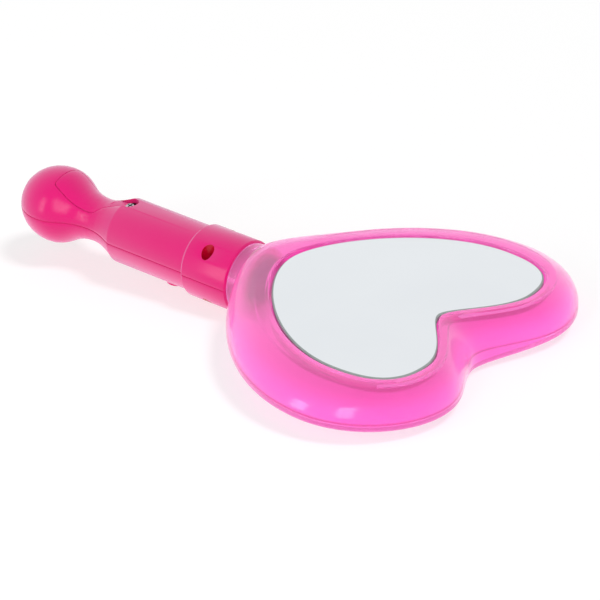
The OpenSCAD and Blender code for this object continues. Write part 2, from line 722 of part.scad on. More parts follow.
// The end of both leads: down to the board's rear edge and a little way along its face
function lead_landing(side) = [
    [waist_x + 3.3 * lead_step, side * lead_end_y, 0.4 * lead_end_z],
    [board_rear_x - wire_r, side * lead_end_y, lead_end_z],
    [board_rear_x + 2 * wire_r, side * lead_end_y, lead_end_z]];
module lead_positive() seat() color("red")
    rings(tube_rings(smooth(concat([
        [front_plate_x + plate_t + 0.2, 2, 2], [cradle_front_x + 1, 2.6, 2],
        [waist_x + 1.2 * lead_step, 4, 1.5], [waist_x + 2.3 * lead_step, 5, 0.5]],
        lead_landing(1))), wire_r, 8));
module lead_negative() seat() color("black")
    rings(tube_rings(smooth(concat([
        [rear_plate_x + plate_t + 0.2, 0, lead_z], [stack_rear_x + 0.3 * stack_len, 0, lead_z],
        [stack_front_x - 0.3 * stack_len, 0, lead_z], [waist_x, 0, lead_z],
        [waist_x + 1.2 * lead_step, -0.6, 0.85 * lead_z],
        [waist_x + 2.3 * lead_step, -3, 0.5 * lead_z]],
        lead_landing(-1))), wire_r, 8));

head_front_shell();
head_back_shell();
mirror_plate();
mirror_tape();
handle_top_shell();
handle_bottom_shell();
collar_screws();
battery_door();
door_screw();
push_button();
switch_body();
switch_plunger();
circuit_board();
control_chip();
series_resistor();
led_holder();
led_lamp();
led_leads();
button_cell_1();
button_cell_2();
button_cell_3();
contact_front();
contact_rear();
contact_spring();
lead_positive();
lead_negative();
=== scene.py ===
"""Light-up heart hand mirror: finishes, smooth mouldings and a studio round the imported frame.

Lengths are in metres. X runs from the handle to the heart, and Z points up out of the glass. The
heart's curves follow the same rule as the solids, only with more steps.
"""
import math

import bmesh
import bpy
import numpy as np
from mathutils import Matrix, Vector


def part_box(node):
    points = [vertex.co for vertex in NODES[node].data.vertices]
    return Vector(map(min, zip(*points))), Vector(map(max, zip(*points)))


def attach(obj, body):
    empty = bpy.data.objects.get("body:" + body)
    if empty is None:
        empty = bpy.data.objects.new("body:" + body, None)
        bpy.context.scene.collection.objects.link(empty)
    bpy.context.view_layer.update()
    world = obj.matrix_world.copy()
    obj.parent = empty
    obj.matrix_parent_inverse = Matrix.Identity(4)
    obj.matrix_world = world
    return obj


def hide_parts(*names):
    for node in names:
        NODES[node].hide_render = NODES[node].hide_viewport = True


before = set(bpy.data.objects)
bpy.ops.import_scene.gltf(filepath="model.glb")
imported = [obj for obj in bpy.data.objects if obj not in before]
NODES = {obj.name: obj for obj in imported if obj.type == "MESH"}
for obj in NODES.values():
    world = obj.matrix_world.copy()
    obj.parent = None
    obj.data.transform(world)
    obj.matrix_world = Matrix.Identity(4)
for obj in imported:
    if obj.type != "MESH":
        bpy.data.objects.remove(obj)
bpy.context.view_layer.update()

bl_info = {
    "name": "Heart Hand Mirror",
    "version": (1, 0, 0),
    "blender": (4, 5, 0),
    "location": "View3D > Sidebar > Hand Mirror",
    "description": "Finishes a light-up heart-shaped hand mirror and lights it in a plain studio",
    "category": "Add Mesh",
}

MM = 0.001
HANDLE_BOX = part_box("handle_bottom_shell")
GLASS_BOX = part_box("mirror_plate")
HEAD_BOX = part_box("head_back_shell")
HEAD_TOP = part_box("head_front_shell")[1].z
# The collar's rim, and the handle's axis, which its two halves part at
COLLAR_X = HANDLE_BOX[1].x
AXIS_Z = HANDLE_BOX[1].z


# --- Settings ------------------------------------------------------------------------------------

def length(name, description, default):
    """A length in the sidebar, in metres."""
    return bpy.props.FloatProperty(
        name=name, description=description, default=default, min=0.0, precision=5,
        subtype="DISTANCE", unit="LENGTH")


def colour(name, description, default):
    """A colour in the sidebar, as scene-linear red, green and blue."""
    return bpy.props.FloatVectorProperty(
        name=name, description=description, default=default, size=3, min=0.0, max=1.0,
        subtype="COLOR")


def linear(red, green, blue):
    """Scene-linear colour from red, green and blue of 0 to 255 as a screen shows them."""
    shares = [c / 255 for c in (red, green, blue)]
    return tuple(c / 12.92 if c <= 0.04045 else ((c + 0.055) / 1.055) ** 2.4 for c in shares)


class HeadSettings(bpy.types.PropertyGroup):
    """Sizes and colours of the two head mouldings."""
    seam_h: length("Seam height", "Seam of the two shells above the handle's axis", 4.1 * MM)
    wall: length("Wall", "Wall thickness of both shells", 1.8 * MM)
    lip_h: length("Lip height", "How far the frame stands above the glass", 0.6 * MM)
    lip_round: length("Lip rounding", "Radius of the lip round the glass", 0.5 * MM)
    cleft_glass: length("Notch in the glass", "Depth of the notch in the glass", 17.4 * MM)
    cleft_frame: length("Frame at the notch", "Width of the frame at the notch", 15.8 * MM)
    tip_gap: length("Gap at the tip", "Extra gap at the handle end of the glass", 0.8 * MM)
    tip_reach: length("Reach of the tip gap", "Half width over which that gap fades", 32 * MM)
    gap: length("Gap", "Gap between the glass and its recess", 0.9 * MM)
    dome: length("Dome", "Depth of the back shell below the handle's axis", 8 * MM)
    rim_h: length("Back rim", "Height of the rim round the back, below the seam", 3 * MM)
    edge_r: length("Back edge", "Radius of the edge round the back", 1.8 * MM)
    tint: colour("Tint", "Colour of the translucent moulding", linear(255, 160, 236))
    shade: colour("Shade", "Colour that the tint drifts to in patches", linear(252, 132, 220))
    # Painted shade: the head is made darker towards the frame's top
    painted_top_shade: colour("Painted top shade", "Painted shade on the frame's top, round the glass",
                     linear(216, 104, 176))
    # Painted sheen: the paler colour where the head is seen edge-on stands in for reflected light
    painted_edge_sheen: colour("Painted edge-on sheen", "Painted sheen where the moulding is seen edge-on",
                      linear(255, 232, 255))
    # Painted glow: the moulding gives light of its own, though it is no lamp
    glow: colour("Glow", "Colour of the light that spreads inside the moulding",
                 linear(255, 90, 190))


class HandleSettings(bpy.types.PropertyGroup):
    """Colours and edges of the handle's mouldings."""
    edge: length("Edge rounding", "Rounding of the moulded edges", 0.16 * MM)
    pink: colour("Pink", "Colour of the opaque moulding", linear(226, 8, 118))
    shade: colour("Shade", "Colour that the pink drifts to in patches", linear(220, 6, 110))
    # Painted sheen: the paler pink where the handle is seen edge-on stands in for reflected and
    # bounced light
    painted_edge_sheen: colour("Painted edge-on sheen", "Painted sheen where the moulding is seen edge-on",
                      linear(248, 140, 196))
    # Painted shade: the dark red down in the screw wells stands in for the shade in those recesses
    painted_well_shade: colour("Painted well shade", "Painted shade down in the two screw wells", linear(190, 0, 40))


class StageSettings(bpy.types.PropertyGroup):
    """Camera, floor and light."""
    azimuth: bpy.props.FloatProperty(
        name="Azimuth", description="Direction that the camera stands in",
        default=math.radians(39.377), subtype="ANGLE", unit="ROTATION")
    elevation: bpy.props.FloatProperty(
        name="Elevation", description="Height of the camera above the handle's plane",
        default=math.radians(30.199), subtype="ANGLE", unit="ROTATION")
    roll: bpy.props.FloatProperty(
        name="Roll", description="Turn of the camera about its line of sight",
        default=math.radians(-1.113), subtype="ANGLE", unit="ROTATION")
    distance: length("Distance", "Distance from the aim point to the camera", 1530.9 * MM)
    aim: bpy.props.FloatVectorProperty(
        name="Aim", description="Point that the camera looks at",
        default=(12.39 * MM, 8.46 * MM, 7.03 * MM), size=3, precision=5,
        subtype="XYZ", unit="LENGTH")
    lens: bpy.props.FloatProperty(
        name="Lens", description="Focal length in millimetres on a 36 mm sensor", default=249.6)
    sky: bpy.props.FloatProperty(
        name="Sky", description="Strength of the even light from all round", default=0.4)


def settings():
    """The three groups of settings, on the scene."""
    scene = bpy.context.scene
    return scene.mirror_head, scene.mirror_handle, scene.mirror_stage


# --- Meshes --------------------------------------------------------------------------------------

def new_object(name, data):
    """An object in the scene for a mesh, a lamp or a camera."""
    obj = bpy.data.objects.new(name, data)
    bpy.context.scene.collection.objects.link(obj)
    return obj


def applied(obj, name):
    """A plain mesh object with obj's modifiers applied. obj itself is removed."""
    bpy.context.view_layer.update()
    evaluated = obj.evaluated_get(bpy.context.evaluated_depsgraph_get())
    mesh = bpy.data.meshes.new_from_object(evaluated)
    mesh.name = name
    bpy.data.objects.remove(obj)
    return new_object(name, mesh)


def smooth_by_angle(mesh, degrees):
    """Smooth shading, with edges sharper than the angle kept crisp."""
    bm = bmesh.new()
    bm.from_mesh(mesh)
    for face in bm.faces:
        face.smooth = True
    for edge in bm.edges:
        sharp = len(edge.link_faces) != 2 or edge.calc_face_angle(0) > math.radians(degrees)
        edge.smooth = not sharp
    bm.to_mesh(mesh)
    bm.free()


ROUNDING_SEGMENTS = 2
# The angles in degrees past which an edge is a crisp one
HANDLE_CRISP, HEAD_CRISP, SPRING_CRISP = 30, 32, 40


def rounded(obj, name, width):
    """obj with its crisp edges rounded and the rest shaded smooth."""
    bevel = obj.modifiers.new("Rounded edges", "BEVEL")
    bevel.width = width
    bevel.segments = ROUNDING_SEGMENTS
    bevel.limit_method = "ANGLE"
    bevel.angle_limit = math.radians(HANDLE_CRISP)
    bevel.miter_outer = "MITER_ARC"
    made = applied(obj, name)
    smooth_by_angle(made.data, HANDLE_CRISP)
    return made


def bmesh_object(name, bm):
    """A new object with bm's faces. bm itself is freed."""
    mesh = bpy.data.meshes.new(name)
    bm.to_mesh(mesh)
    bm.free()
    return new_object(name, mesh)


WELD_DISTANCE = 0.002 * MM
FLAT_WITHIN = math.radians(0.4)


def merged_copy(node, name):
    """A CAD node's solid as one welded mesh, with its flat faces whole again."""
    bm = bmesh.new()
    bm.from_mesh(NODES[node].data)
    bmesh.ops.remove_doubles(bm, verts=bm.verts, dist=WELD_DISTANCE)
    bmesh.ops.dissolve_limit(bm, angle_limit=FLAT_WITHIN, verts=bm.verts, edges=bm.edges)
    return bmesh_object(name, bm)


def finish_piece(obj, body, slot, node, *materials):
    """Gives a finished piece its materials and its body, and hides the CAD node it stands for."""
    obj.data.materials.clear()
    for material in materials:
        obj.data.materials.append(material)
    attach(obj, body)
    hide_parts(node)


def dress(node, material):
    """Puts a material on a CAD node that is shown as it is."""
    obj = NODES[node]
    if not obj.material_slots:
        obj.data.materials.append(material)
    for each in obj.material_slots:
        each.material = material


CYLINDER_SIDES = 160


def cylinder(name, radius, start, end):
    """A closed cylinder from start to end."""
    a, b = Vector(start), Vector(end)
    bm = bmesh.new()
    bmesh.ops.create_cone(bm, cap_ends=True, segments=CYLINDER_SIDES, radius1=radius,
                          radius2=radius, depth=(b - a).length)
    turn = (b - a).to_track_quat("Z", "Y").to_matrix().to_4x4()
    bmesh.ops.transform(bm, matrix=Matrix.Translation((a + b) / 2) @ turn, verts=bm.verts)
    return bmesh_object(name, bm)


def block(name, low, high):
    """A closed box between two corners."""
    low, high = Vector(low), Vector(high)
    bm = bmesh.new()
    bmesh.ops.create_cube(bm, size=1)
    size = Matrix.Diagonal((*(high - low), 1))
    bmesh.ops.transform(bm, matrix=Matrix.Translation((low + high) / 2) @ size, verts=bm.verts)
    return bmesh_object(name, bm)


def combined(obj, name, *steps):
    """obj after boolean steps, each an operation and another closed object, which is used up."""
    for operation, other in steps:
        step = obj.modifiers.new(operation.title(), "BOOLEAN")
        step.operation = operation
        step.solver = "EXACT"
        step.object = other
    made = applied(obj, name)
    for _, other in steps:
        bpy.data.objects.remove(other)
    return made


# --- The heart -----------------------------------------------------------------------------------

NECK_LEN = 3 * MM
CURVE_STEPS = 40
# How much farther from the tip the heart is widest, as a share of its half width
WIDEST_SHIFT = 0.035
# How far along the heart is widest, as a share of its length. Then, as shares of the half width,
# how far out the lobes' ends lie, and the reach of the curves' handles from the tip to the notch
GLASS_CURVE = (0.68, 0.605, 0.367, 0.578, 0.293, 0.312, 0.262, 0.122)
OUTER_CURVE = (0.64, 0.493, 0.338, 0.604, 0.312, 0.258, 0.188, 0.127)


def bezier(a, b, c, d, t):
    """The point at share t of the cubic curve from a to d with handles b and c."""
    return a * (1 - t) ** 3 + 3 * b * t * (1 - t) ** 2 + 3 * c * t * t * (1 - t) + d * t ** 3


def heart(tip_x, end_x, half_w, cleft_x, curve):
    """A heart as a ring of points that starts at its tip, from three curves for each half."""
    widest, lobe, *reach = curve
    wide = np.array([tip_x + widest * (end_x - tip_x) + WIDEST_SHIFT * half_w, half_w])
    end = np.array([end_x, lobe * half_w])
    tip = np.array([tip_x, 0.0])
    cleft = np.array([cleft_x, 0.0])
    along = np.array([half_w, 0.0])
    across = np.array([0.0, half_w])
    curves = [
        (tip, tip + reach[0] * across, wide - reach[1] * along, wide),
        (wide, wide + reach[2] * along, end + reach[3] * across, end),
        (end, end - reach[4] * across, cleft + reach[5] * across, cleft),
    ]
    half = [bezier(*c, i / CURVE_STEPS) for c in curves for i in range(CURVE_STEPS)]
    mirrored = [p * (1, -1) for p in half]
    return np.array(mirrored + [cleft] + half[:0:-1])


class Heart:
    """The glass line and the outer line of the head, and sections between them."""

    def __init__(self, head):
        self.head = head
        glass_low, glass_high = GLASS_BOX
        outer_high = HEAD_BOX[1]
        cleft = glass_high.x - head.cleft_glass
        self.tip_x = glass_low.x
        self.outer_tip_x = COLLAR_X + NECK_LEN
        self.glass = heart(glass_low.x, glass_high.x, glass_high.y, cleft, GLASS_CURVE)
        self.outer = heart(self.outer_tip_x, outer_high.x, outer_high.y,
                           cleft + head.cleft_frame, OUTER_CURVE)
        self.glass_z = glass_high.z
        self.glass_under_z = glass_low.z
        self.seam_z = AXIS_Z + head.seam_h
        self.ridge_z = self.glass_z + head.lip_h
        self.floor_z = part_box("mirror_tape")[0].z
        self.band = np.linalg.norm(self.outer - self.glass, axis=1)

    def beside(self, offset):
        """Points that lie an offset outside the glass line, towards the outer line."""
        share = (offset / self.band)[:, None]
        return self.glass + (self.outer - self.glass) * share

    def ring(self, offset, z):
        """A ring of points at an offset and a height, each a number or one for each point."""
        flat = self.beside(np.broadcast_to(offset, self.band.shape))
        return np.column_stack([flat, np.broadcast_to(z, self.band.shape)])

    def recess_edge(self):
        """Offset of the recess's wall, wider at the handle end."""
        near = self.glass[:, 0] < self.tip_x + self.head.tip_reach
        share = fade(np.abs(self.glass[:, 1]) / self.head.tip_reach)
        return self.head.gap + np.where(near, self.head.tip_gap * share, 0)


def fade(t):
    """1 at t = 0 and smoothly down to 0 at t = 1, for a number or an array."""
    c = np.clip(t, 0, 1)
    return 1 - c * c * (3 - 2 * c)


def ring_mesh(name, rings):
    """A closed mesh from rings of points, with a fan of triangles over each end."""
    count = len(rings[0])
    points = [p for ring in rings for p in ring]
    points += [rings[0].mean(axis=0), rings[-1].mean(axis=0)]
    first, last = len(points) - 2, len(points) - 1
    faces = []
    for k in range(len(rings) - 1):
        for i in range(count):
            j = (i + 1) % count
            faces.append((k * count + i, k * count + j, (k + 1) * count + j,
                          (k + 1) * count + i))
    top = (len(rings) - 1) * count
    for i in range(count):
        j = (i + 1) % count
        faces.append((first, j, i))
        faces.append((last, top + i, top + j))
    mesh = bpy.data.meshes.new(name)
    mesh.from_pydata([tuple(p) for p in points], [], faces)
    bm = bmesh.new()
    bm.from_mesh(mesh)
    bmesh.ops.recalc_face_normals(bm, faces=bm.faces)
    bm.to_mesh(mesh)
    bm.free()
    return new_object(name, mesh)


# Share of the frame's width that is flat, from the glass outwards
FRAME_LAND = 0.35
# Thickness of the recess's wall and floor
RECESS_WALL = 1.4 * MM
# Powers of the sine and the cosine that give the shoulder's section, round the heart and at the
# neck, where it is fuller. It changes over the reach, on each side of the axis.
OUT_POWER, OUT_POWER_AT_NECK = 1.95, 0.55
DOWN_POWER, DOWN_POWER_AT_NECK = 1.0, 0.4
SHOULDER_REACH = 37 * MM


def front_rings(shape):
    """Sections of the front moulding: recess floor, lip, shoulder, seam and inside."""
    head, edge, band = shape.head, shape.recess_edge(), shape.band
    wall, lip = head.wall, head.lip_round
    height = shape.ridge_z - shape.seam_z

    outer = shape.outer
    far_half = outer[:, 0] > (COLLAR_X + outer[:, 0].max()) / 2
    near_neck = np.where(far_half, 0, fade(np.abs(outer[:, 1]) / SHOULDER_REACH))
    out_power = OUT_POWER + (OUT_POWER_AT_NECK - OUT_POWER) * near_neck
    down_power = DOWN_POWER + (DOWN_POWER_AT_NECK - DOWN_POWER) * near_neck

    def shoulder(degrees, inset):
        a = math.radians(degrees)
        out = max(math.sin(a), 0) ** out_power
        down = max(math.cos(a), 0) ** down_power
        offset = FRAME_LAND * band + ((1 - FRAME_LAND) * band - inset) * out
        return shape.ring(offset, shape.seam_z + (height - inset) * down)

    rings = [shape.ring(edge, shape.floor_z)]
    for degrees in (0, 22.5, 45, 67.5, 90):
        a = math.radians(degrees)
        rings.append(shape.ring(edge + lip * (1 - math.cos(a)),
                                shape.ridge_z - lip * (1 - math.sin(a))))
    rings += [shoulder(degrees, 0) for degrees in range(0, 91, 6)]
    rings += [shoulder(degrees, wall) for degrees in range(90, -1, -10)]
    rings.append(shape.ring(edge + RECESS_WALL, shape.ridge_z - wall))
    rings.append(shape.ring(edge + RECESS_WALL, shape.floor_z - RECESS_WALL))
    return rings


# How far the dome's middle lies from the middle of the heart, towards the handle
DOME_SHIFT = 9 * MM
# Shares of the way from the dome's middle to its edge
DOME_STEPS = (0.05, 0.1, 0.16, 0.22, 0.29, 0.36, 0.43, 0.5, 0.57, 0.64, 0.71, 0.78, 0.84, 0.9, 0.95)
# The swelling that carries the dome down into the neck: the reach of its bell-shaped section,
# its depth under the dome at the neck, and how far along the head it runs, as a share
FAIRING_W, FAIRING_DEPTH, FAIRING_SHARE = 15 * MM, 4.4 * MM, 0.47
# The foot of the rim's inside: how far in from the rim's wall, and below the seam at least
FOOT_IN, FOOT_DOWN = 0.5 * MM, 0.3 * MM


def back_rings(shape):
    """Sections of the back moulding, from the middle of its inside to the middle of its outside."""
    head, band, outer = shape.head, shape.band, shape.outer
    wall, edge_r = head.wall, head.edge_r
    tip_x, end_x = shape.outer_tip_x, outer[:, 0].max()
    lobe_y = OUTER_CURVE[1] * outer[:, 1].max()
    middle = np.array([(tip_x + end_x) / 2 - DOME_SHIFT, 0.0])
    rim_z = shape.seam_z - head.rim_h
    dome_z = AXIS_Z - head.dome
    fairing_end = COLLAR_X + FAIRING_SHARE * (end_x - COLLAR_X)
    # The notch is nearer the dome's middle than the lobes' ends are, so the dome's edge is lower.
    beyond = (outer[:, 0] > middle[0]) & (np.abs(outer[:, 1]) < lobe_y)
    notch = np.where(beyond, (outer[:, 0] - middle[0]) / (end_x - middle[0]), 1.0)
    foot = shape.beside(band - edge_r)

    def under(share):
        """The outside's flat points and heights at a share of the way out."""
        flat = middle + (foot - middle) * share
        z = dome_z + (rim_z - dome_z) * (share * notch) ** 2
        run = fade((flat[:, 0] - tip_x) / (fairing_end - tip_x))
        depth = np.maximum(z - dome_z + FAIRING_DEPTH * run, 0)
        depth = np.where(flat[:, 0] > fairing_end, 0, depth)
        return flat, z - depth * np.exp(-(flat[:, 1] / FAIRING_W) ** 2)

    def dome(share, rise):
        flat, z = under(share)
        return np.column_stack([flat, z + rise])

    _, foot_z = under(1.0)
    rings = [dome(share, wall) for share in DOME_STEPS[:-1]]
    inside_z = np.minimum(foot_z + wall, shape.seam_z - FOOT_DOWN)
    rings.append(np.column_stack([shape.beside(band - wall - FOOT_IN), inside_z]))
    rings.append(shape.ring(band - wall, shape.seam_z))
    rings.append(shape.ring(band, shape.seam_z))
    for degrees in range(0, 91, 10):
        a = math.radians(degrees)
        flat = shape.beside(band - edge_r * (1 - math.cos(a)))
        rings.append(np.column_stack([flat, foot_z + edge_r * (1 - math.sin(a))]))
    rings += [dome(share, 0) for share in reversed(DOME_STEPS)]
    return rings


# The neck's spigot plugs into the collar, and the neck stands a gap away from its rim. Each runs
# on into what it grows from by its root.
SPIGOT_LEN = COLLAR_X - HEAD_BOX[0].x
SPIGOT_R, SPIGOT_ROOT = 12.05 * MM, 1 * MM
NECK_R, NECK_ROOT, NECK_GAP = 13.2 * MM, 3.5 * MM, 0.15 * MM
# The bore through both, and how far it ends past the collar's rim
BORE_R, BORE_END = 10.25 * MM, 8.4 * MM
# The two screw bosses: along from the collar's rim and out from the axis, and the radius of the
# cuts that clear them. The collar's wells lie over them.
BOSS_AT = (-11.7 * MM, 8.9 * MM)
BOSS_R = 3.7 * MM
WELL_R = 2.4 * MM
# Reach of a cutting shape, past every face that it cuts
FAR = 60 * MM


def neck_half(name, above, seam_z):
    """The neck and its spigot, cut along the seam; above keeps the upper part."""
    def at(x):
        return (COLLAR_X + x, 0, AXIS_Z)

    def boss_cut(side):
        x, y = COLLAR_X + BOSS_AT[0], side * BOSS_AT[1]
        return cylinder("Boss", BOSS_R, (x, y, AXIS_Z - FAR), (x, y, AXIS_Z + FAR))

    spigot = cylinder("Spigot", SPIGOT_R, at(-SPIGOT_LEN), at(SPIGOT_ROOT))
    neck = cylinder("Neck", NECK_R, at(NECK_GAP), at(NECK_LEN + NECK_ROOT))
    low, high = (seam_z, seam_z + FAR) if above else (seam_z - FAR, seam_z)
    keep = block("Keep", (COLLAR_X - FAR, -FAR, low), (COLLAR_X + FAR, FAR, high))
    bosses = [boss_cut(side) for side in (-1, 1)]
    return combined(spigot, name, ("UNION", neck), ("INTERSECT", keep),
                    *[("DIFFERENCE", boss) for boss in bosses])


def head_shell(name, rings, above, seam_z):
    """One head moulding: its swept heart, its half of the neck, and the bore through both."""
    body = ring_mesh(name + "_body", rings)
    bore = cylinder("Bore", BORE_R, (COLLAR_X - FAR, 0, AXIS_Z),
                    (COLLAR_X + BORE_END, 0, AXIS_Z))
    return combined(body, name, ("UNION", neck_half("Neck_half", above, seam_z)),
                    ("DIFFERENCE", bore))


# --- Materials -----------------------------------------------------------------------------------

def add_node(tree, kind, **values):
    """A new node of a tree, with the given properties."""
    node = tree.nodes.new(kind)
    for key, value in values.items():
        setattr(node, key, value)
    return node


def new_group(name, inputs, outputs):
    """An empty shader node group with named sockets."""
    group = bpy.data.node_groups.new(name, "ShaderNodeTree")
    for label, kind, default in inputs:
        socket = group.interface.new_socket(label, in_out="INPUT", socket_type=kind)
        socket.default_value = default
    for label, kind in outputs:
        group.interface.new_socket(label, in_out="OUTPUT", socket_type=kind)
    return group, group.nodes.new("NodeGroupInput"), group.nodes.new("NodeGroupOutput")


def fill(node, **values):
    """Sets a node's unlinked sockets by their names, with _ for a space."""
    for name, value in values.items():
        node.inputs[name.replace("_", " ")].default_value = value


def opaque(rgb):
    """A colour for a socket that also holds an alpha."""
    return (*rgb, 1.0)


def moulded_skin():
    """Colour that drifts a little, uneven gloss and a faint ripple, as moulded plastic has."""
    name = "Moulded skin"
    if name in bpy.data.node_groups:
        return bpy.data.node_groups[name]
    group, given, result = new_group(
        name,
        [("Colour", "NodeSocketColor", (0.8, 0.8, 0.8, 1)),
         ("Shade", "NodeSocketColor", (0.7, 0.7, 0.7, 1)),
         ("Drift scale", "NodeSocketFloat", 40.0),
         ("Smoothest", "NodeSocketFloat", 0.2),
         ("Roughest", "NodeSocketFloat", 0.3),
         ("Ripple", "NodeSocketFloat", 0.02),
         ("Grain", "NodeSocketFloat", 0.005)],
        [("Colour", "NodeSocketColor"), ("Roughness", "NodeSocketFloat"),
         ("Normal", "NodeSocketVector")])
    link = group.links.new
    place = add_node(group, "ShaderNodeTexCoord")

    def noise(**values):
        texture = add_node(group, "ShaderNodeTexNoise")
        link(place.outputs["Object"], texture.inputs["Vector"])
        fill(texture, **values)
        return texture

    def bump(strength, depth, height):
        made = add_node(group, "ShaderNodeBump")
        fill(made, Distance=depth)
        link(given.outputs[strength], made.inputs["Strength"])
        link(height.outputs["Fac"], made.inputs["Height"])
        return made

    cloud = noise(Detail=3)
    wide = noise(Detail=1, Scale=110)
    fine = noise(Detail=2, Scale=2600)
    link(given.outputs["Drift scale"], cloud.inputs["Scale"])
    mix = add_node(group, "ShaderNodeMix", data_type="RGBA")
    link(cloud.outputs["Fac"], mix.inputs["Factor"])
    link(given.outputs["Colour"], mix.inputs["A"])
    link(given.outputs["Shade"], mix.inputs["B"])
    link(mix.outputs["Result"], result.inputs["Colour"])

    # Noise seldom leaves the range from 0.3 to 0.7.
    gloss = add_node(group, "ShaderNodeMapRange")
    fill(gloss, From_Min=0.3, From_Max=0.7)
    link(wide.outputs["Fac"], gloss.inputs["Value"])
    link(given.outputs["Smoothest"], gloss.inputs["To Min"])
    link(given.outputs["Roughest"], gloss.inputs["To Max"])
    link(gloss.outputs["Result"], result.inputs["Roughness"])

    ripple = bump("Ripple", 1 * MM, wide)
    grain = bump("Grain", 0.1 * MM, fine)
    link(ripple.outputs["Normal"], grain.inputs["Normal"])
    link(grain.outputs["Normal"], result.inputs["Normal"])
    return group


def base_material(name):
    """A new material with a Principled shader: the material, its tree and the shader."""
    made = bpy.data.materials.new(name)
    made.use_nodes = True
    tree = made.node_tree
    return made, tree, tree.nodes["Principled BSDF"]


def moulding(name, rgb, shade, smoothest=0.2, roughest=0.3, ripple=0.02, grain=0.005,
             drift_scale=40.0, **plain):
    """A material with the moulded skin; plain sets further sockets of the shader."""
    made, tree, shader = base_material(name)
    skin = add_node(tree, "ShaderNodeGroup", node_tree=moulded_skin())
    fill(skin, Colour=opaque(rgb), Shade=opaque(shade), Drift_scale=drift_scale,
         Smoothest=smoothest, Roughest=roughest, Ripple=ripple, Grain=grain)
    tree.links.new(skin.outputs["Colour"], shader.inputs["Base Color"])
    tree.links.new(skin.outputs["Roughness"], shader.inputs["Roughness"])
    tree.links.new(skin.outputs["Normal"], shader.inputs["Normal"])
    fill(shader, **plain)
    return made, tree, shader


def metal(name, rgb, shade, smoothest=0.2, roughest=0.4):
    """Bare metal with fine grain."""
    return moulding(name, rgb, shade, smoothest, roughest, grain=0.03, drift_scale=400.0,
                    Metallic=1.0)[0]


def plastic(name, rgb, shade, smoothest=0.35, roughest=0.55):
    """Dull moulded plastic, for the small pieces."""
    return moulding(name, rgb, shade, smoothest, roughest, drift_scale=200.0)[0]


def object_axes(tree):
    """The X, Y and Z of a point of the object, as sockets."""
    place = add_node(tree, "ShaderNodeTexCoord")
    axes = add_node(tree, "ShaderNodeSeparateXYZ")
    tree.links.new(place.outputs["Object"], axes.inputs[0])
    return axes.outputs


def edge_on(tree, power):
    """0 on a face seen square on and 1 on one seen edge-on; a higher power keeps it narrower."""
    facing = add_node(tree, "ShaderNodeLayerWeight")
    fill(facing, Blend=0.5)
    share = add_node(tree, "ShaderNodeMath", operation="POWER")
    tree.links.new(facing.outputs["Facing"], share.inputs[0])
    share.inputs[1].default_value = power
    return share.outputs[0]


def tint_base(tree, shader, share, rgb):
    """Mixes what feeds the shader's Base Color towards another colour, by a share of 0 to 1."""
    base = shader.inputs["Base Color"]
    mix = add_node(tree, "ShaderNodeMix", data_type="RGBA")
    tree.links.new(share, mix.inputs["Factor"])
    tree.links.new(base.links[0].from_socket, mix.inputs["A"])
    fill(mix, B=opaque(rgb))
    tree.links.new(mix.outputs["Result"], base)


# A hair, so that a well's own wall counts as inside it
WELL_MARGIN = 0.05 * MM


def well_shade_mask(tree):
    """1 inside the two screw wells of the collar, where shade is painted, and 0 elsewhere."""
    axes = object_axes(tree)
    side = add_node(tree, "ShaderNodeMath", operation="ABSOLUTE")
    tree.links.new(axes["Y"], side.inputs[0])
    flat = add_node(tree, "ShaderNodeCombineXYZ")
    tree.links.new(axes["X"], flat.inputs["X"])
    tree.links.new(side.outputs[0], flat.inputs["Y"])
    away = add_node(tree, "ShaderNodeVectorMath", operation="DISTANCE")
    tree.links.new(flat.outputs[0], away.inputs[0])
    away.inputs[1].default_value = (COLLAR_X + BOSS_AT[0], BOSS_AT[1], 0)
    inside = add_node(tree, "ShaderNodeMath", operation="LESS_THAN")
    tree.links.new(away.outputs["Value"], inside.inputs[0])
    inside.inputs[1].default_value = WELL_R + WELL_MARGIN
    return inside.outputs[0]


def handle_plastic():
    """Pink plastic, with a painted sheen where it is seen edge-on and painted dark red shade down
    in the screw wells.
    """
    _, handle, _ = settings()
    made, tree, shader = moulding("Handle pink", handle.pink, handle.shade, roughest=0.27,
                                  IOR=1.5, Specular_IOR_Level=0.3)
    # Painted sheen: paler pink towards the edge-on faces, in place of reflected and bounced light
    tint_base(tree, shader, edge_on(tree, 2.3), handle.painted_edge_sheen)
    # Painted shade: dark red down in the two screw wells
    tint_base(tree, shader, well_shade_mask(tree), handle.painted_well_shade)
    return made


# How far below the head's top its painted shade starts and is full, and its fullest share
TOP_SHADE_START, TOP_SHADE_FULL, TOP_SHADE_SHARE = 8 * MM, 0.5 * MM, 0.85


def top_shade_share(tree):
    """The share of painted shade: 0 low on the head, rising over its shoulder to the frame's top.
    """
    height = add_node(tree, "ShaderNodeMapRange", interpolation_type="SMOOTHSTEP")
    tree.links.new(object_axes(tree)["Z"], height.inputs["Value"])
    fill(height, From_Min=HEAD_TOP - TOP_SHADE_START, From_Max=HEAD_TOP - TOP_SHADE_FULL,
         To_Max=TOP_SHADE_SHARE)
    return height.outputs["Result"]


